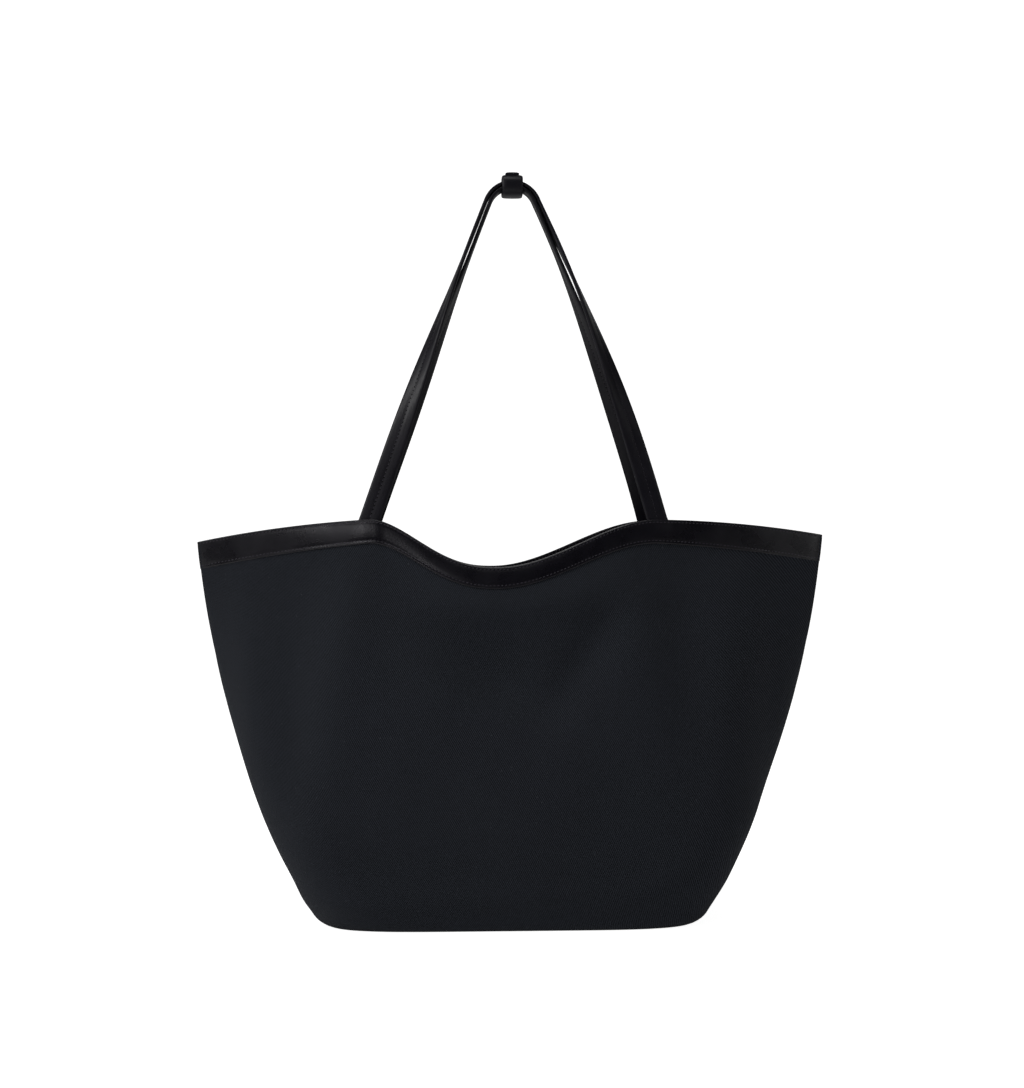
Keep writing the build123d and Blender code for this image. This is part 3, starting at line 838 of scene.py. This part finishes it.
# Near-black grains that stand for the awl holes: painted shade where the holes would be dark.
HOLE_SHADE = plain_material("painted_hole_shade", (0.001, 0.001, 0.0012), (0.002, 0.002, 0.0024), 0.9, 800.0)
STAY_TAPE = plain_material("stay_tape", (0.02, 0.02, 0.02), (0.04, 0.04, 0.04), 0.85, 1200.0)
FILLER = plain_material("strap_filler", (0.03, 0.03, 0.03), (0.06, 0.06, 0.055), 0.9, 1500.0)
BOARD = plain_material("base_board_grey", (0.04, 0.04, 0.038), (0.07, 0.068, 0.062), 0.8, 300.0)


def keep(obj, made, body, slot_name, *nodes):
    """A piece that rides on one body."""
    paint(obj, made)
    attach(obj, body)
    if nodes:
        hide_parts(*nodes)
    return obj


def bend(obj, made, slot_name, *nodes):
    """A piece that follows the bag at the rim and the handles above the straps' bend."""
    paint(obj, made)
    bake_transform(obj, "bag", "handles", start=(0, 0, RIM_AT_HANDLE), end=(0, 0, BEND_TOP))
    if nodes:
        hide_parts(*nodes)
    return obj


# Rim leather in cross-section: millimetres in from a named face, millimetres of drop below the rim
# line, and the share of the facing's height that is added to the drop.
FACING_OUTSIDE = [
    (-0.1, 0.0, 1.0), (-0.55, 0.08, 1.0), (-1.0, -0.15, 1.0), (-1.2, -0.7, 1.0), (-1.22, -1.5, 1.0),
    (-1.0, -2.4, 1.0), (-1.25, -3.4, 1.0), (-1.45, -5.5, 1.0), (-1.5, 0.0, 0.5), (-1.42, 4.4, 0.0),
    (-1.22, 3.0, 0.0), (-1.0, 2.1, 0.0), (-1.15, 1.3, 0.0), (-1.05, 0.6, 0.0), (-0.6, 0.15, 0.0)]
FACING_TOP = [(0.3, 0.0, 0.0), (1.8, -0.05, 0.0), (3.0, 0.0, 0.0)]
FACING_LIP_END = [(-0.1, 0.2, 0.0), (0.0, 0.7, 0.0), (-0.2, 1.15, 0.0)]
FACING_UNDER_LIP = [(2.4, 1.2, 0.0), (0.9, 1.2, 0.0)]
FACING_INSIDE = [
    (0.0, 1.3, 0.0), (0.0, 2.4, 0.0), (0.0, 4.4, 0.0), (0.0, 0.0, 0.5), (0.0, -5.5, 1.0),
    (0.0, -2.4, 1.0), (0.0, -0.7, 1.0)]
TURN_IN = [
    (0.0, -0.2, 1.0), (0.0, -5.0, 1.0), (0.0, 0.0, 0.5), (0.0, 5.0, 0.0), (0.0, 1.2, 0.0),
    (0.1, 0.35, 0.0), (0.5, 0.1, 0.0), (0.95, 0.3, 0.0), (1.15, 1.0, 0.0), (1.0, 2.1, 0.0),
    (1.25, 4.0, 0.0), (1.35, 0.0, 0.5), (1.25, -4.4, 1.0), (1.0, -2.4, 1.0), (1.15, -1.0, 1.0),
    (0.8, -0.1, 1.0), (0.4, 0.05, 1.0), (0.1, 0.0, 1.0)]


def from_face(face, rows):
    return [(face + inset * MM, drop * MM, share) for inset, drop, share in rows]


def make_body():
    folded = from_face(-PLY_GAP, FACING_OUTSIDE) + from_face(0.0, FACING_TOP)
    folded += from_face(LINING_INNER, FACING_LIP_END) + from_face(0.0, FACING_UNDER_LIP)
    folded += from_face(-PLY_GAP, FACING_INSIDE)
    inner = from_face(LINING_INNER + PLY_GAP, TURN_IN)
    tape_out, tape_in = CANVAS_THICK + PLY_GAP, LINING_OUTER - PLY_GAP
    tape = [(tape_out, 0.0, 1.0), (tape_out, LIP, 0.0), (tape_in, LIP, 0.0), (tape_in, 0.0, 1.0)]
    for side, name in SIDES:
        canvas = bag_ply(f"canvas_{name}", side, 0.0, CANVAS_THICK)
        keep(canvas, CANVAS, "bag", "canvas", f"{name}_panel")
        lining = bag_ply(f"lining_{name}", side, LINING_OUTER, LINING_INNER)
        keep(lining, LINING, "bag", "lining_cloth", f"{name}_lining")
        facing = rim_ply(f"rim_facing_{name}", side, folded)
        keep(facing, RIM_LEATHER, "bag", "leather", f"{name}_outer_facing")
        turn_in = rim_ply(f"rim_turn_in_{name}", side, inner)
        keep(turn_in, RIM_LEATHER, "bag", "leather", f"{name}_inner_facing")
        stay = rim_ply(f"rim_stay_{name}", side, tape)
        keep(stay, STAY_TAPE, "bag", "stay_tape", f"{name}_rim_stay")


def make_pocket():
    low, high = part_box("pocket")
    trim_low, trim_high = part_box("pocket_trim")
    over = LINING_INNER + PLY_GAP
    patch = patch_ply("pocket", BACK, over, over + POCKET_THICK, POCKET_HALF_TURN, low.z, high.z)
    keep(patch, LINING, "bag", "lining_cloth", "pocket")
    outer, inner = over + 0.65 * MM, over + 1.65 * MM
    trim = patch_ply("pocket_trim", BACK, outer, inner, POCKET_HALF_TURN, trim_low.z, trim_high.z, rows=8)
    keep(trim, RIM_LEATHER, "bag", "leather", "pocket_trim")


def make_straps(tree):
    outer = strap_section(STRAP_WIDTH, FOLDED_THICK, groove=0.24, notch=0.3 * MM)
    core = strap_section(FILLER_WIDTH, FILLER_THICK, groove=0.0, notch=0.1 * MM, points=8)
    for side, name in SIDES:
        frames = strap_frames(side, RIM_AT_HANDLE - 5 * MM)
        strap = sweep_frames(f"strap_{name}", frames, outer)
        bend(strap, STRAP_LEATHER, "strap_leather", f"{name}_strap_top", f"{name}_strap_left_end",
             f"{name}_strap_right_end")
        filler = sweep_frames(f"strap_core_{name}", frames[7:-7], core)
        bend(filler, FILLER, "strap_filler", f"{name}_core_top", f"{name}_core_left_end",
             f"{name}_core_right_end")
        rows = [strap_row(frames, STRAP_ROW_LIFT, sign, 3, -3) for sign in (-1, 1)]
        thread = stitch_rows(
            f"strap_stitches_{name}", rows, tree, Pitch=STRAP_ROW_PITCH, Length=2.3 * MM,
            Thickness=0.7 * MM, Height=0.55 * MM, Slant=0.1, Material=THREAD_WITH_PAINTED_SHEEN)
        bend(thread, THREAD_WITH_PAINTED_SHEEN, "strap_leather")
        between = [(points[1:], directions[1:]) for points, directions in rows]
        # Near-black grains between the stitches: painted shade of the awl holes.
        shaded_holes = stitch_rows(
            f"strap_awl_holes_{name}", between, tree, Pitch=STRAP_ROW_PITCH, Length=1.8 * MM,
            Thickness=1.5 * MM, Height=0.5 * MM, Slant=0.6, Material=HOLE_SHADE)
        bend(shaded_holes, HOLE_SHADE, "strap_leather")


def make_keeper():
    half_y = (keeper_high.y - keeper_low.y) / 2 - KEEPER_THICK
    half_z = (keeper_high.z - keeper_low.z) / 2 - KEEPER_THICK
    width = keeper_high.x - keeper_low.x
    full = np.linspace(0, math.tau, 97)[:-1]
    loop = keeper_ring("keeper_loop", KEEPER_THICK, half_y, half_z, width, full, closed=True)
    keep(loop, STRAP_LEATHER, "keeper", "strap_leather", "keeper_loop")
    lapped = np.linspace(math.radians(62), math.radians(118), 18)
    thick = (tongue_high.z - keeper_high.z) * 0.8
    half_y, half_z = half_y + LAP_LIFT, half_z + LAP_LIFT
    tongue = keeper_ring("keeper_tongue", thick, half_y, half_z, TONGUE_WIDTH, lapped)
    keep(tongue, STRAP_LEATHER, "keeper", "strap_leather", "keeper_tongue")


def make_stitches(tree):
    for side, name in SIDES:
        rows = []
        for inset, inward in ((-RIM_ROW_LIFT, False), (LINING_INNER + RIM_ROW_LIFT, True)):
            rows += [rim_row(side, RIM_ROW_TOP, 0.0, inset, inward),
                     rim_row(side, RIM_ROW_LOW, 1.0, inset, inward)]
        made = stitch_rows(
            f"rim_stitches_{name}", rows, tree, Pitch=3.0 * MM, Length=2.2 * MM,
            Thickness=0.75 * MM, Height=0.6 * MM, Slant=0.14, Material=THREAD_WITH_PAINTED_SHEEN)
        keep(made, THREAD_WITH_PAINTED_SHEEN, "bag", "leather")


def dress_hidden():
    paint(frame["nodes"]["base_board"], BOARD)


make_body()
make_pocket()
thread_tree = stitch_tree()
make_straps(thread_tree)
make_keeper()
make_stitches(thread_tree)
dress_hidden()


# ---- stage ---------------------------------------------------------------------------------------
def make_stage():
    """Pale floor that curves up into a wall behind, and looks brighter than it shines."""
    depth, rise, bend_radius = 3.2, 2.6, 0.9
    profile = [(-4.0, 0.0), (depth - bend_radius, 0.0)]
    for step in range(1, 17):
        angle = math.pi / 2 * step / 16
        reach = depth - bend_radius + bend_radius * math.sin(angle)
        profile.append((reach, bend_radius - bend_radius * math.cos(angle)))
    profile.append((depth, rise))
    verts = [(x, y, z) for x in (-5.0, 5.0) for y, z in profile]
    count = len(profile)
    faces = [(i, i + 1, count + i + 1, count + i) for i in range(count - 1)]
    sweep = mesh_object("studio_floor", verts, faces)
    for face in sweep.data.polygons:
        face.use_smooth = True
    made, tree, shader = material("pale_floor", 0.95, 0.0)
    shader.inputs["Base Color"].default_value = (0.86, 0.86, 0.86, 1)
    shader.inputs["Emission Color"].default_value = (1, 1, 1, 1)
    seen = tree.nodes.new("ShaderNodeLightPath").outputs["Is Camera Ray"]
    tree.links.new(spread(tree, seen, 0, 1, 0.10, 0.95), shader.inputs["Emission Strength"])
    sweep.data.materials.append(made)


def soft_light(name, place_at, target, size, power, colour=(1, 1, 1)):
    data = bpy.data.lights.new(name, "AREA")
    data.shape, data.size, data.size_y = "RECTANGLE", size[0], size[1]
    data.energy, data.color = power, colour
    lamp = bpy.data.objects.new(name, data)
    lamp.location = place_at
    lamp.rotation_euler = (Vector(target) - Vector(place_at)).to_track_quat("-Z", "Y").to_euler()
    bpy.context.scene.collection.objects.link(lamp)


def make_camera():
    distance, azimuth, height = 1.5, math.radians(-2.8), 0.2913
    frame_height = 0.8704
    data = bpy.data.cameras.new("camera")
    data.sensor_width, data.sensor_fit = 36.0, "AUTO"
    data.lens = 36.0 * distance / frame_height
    camera = bpy.data.objects.new("camera", data)
    camera.location = (math.sin(azimuth) * distance, -math.cos(azimuth) * distance, height)
    camera.rotation_euler = (math.pi / 2, 0, azimuth)
    bpy.context.scene.collection.objects.link(camera)
    bpy.context.scene.camera = camera


def make_studio():
    world = bpy.data.worlds.new("studio")
    world.use_nodes = True
    tree = world.node_tree
    tree.nodes["Background"].inputs[0].default_value = (1, 1, 1, 1)
    seen = tree.nodes.new("ShaderNodeLightPath").outputs["Is Camera Ray"]
    tree.links.new(spread(tree, seen, 0, 1, 0.03, 1.0), tree.nodes["Background"].inputs[1])
    bpy.context.scene.world = world
    middle = (0, 0, 0.3)
    soft_light("key_left", (-2.2, -0.75, 1.5), middle, (0.8, 1.3), 21)
    soft_light("sheen", (-1.1, -1.8, 1.05), (-0.15, 0, 0.3), (0.35, 0.35), 2.0, (0.97, 0.95, 1.0))
    soft_light("fill_right", (2.3, -1.2, 1.0), middle, (0.6, 1.5), 4)
    soft_light("top", (-0.2, -0.5, 2.2), middle, (1.6, 0.7), 10)
    soft_light("back", (0.3, 2.0, 1.6), middle, (2.0, 1.0), 5)
    bpy.context.scene.view_settings.view_transform = "Standard"


make_stage()
make_camera()
make_studio()
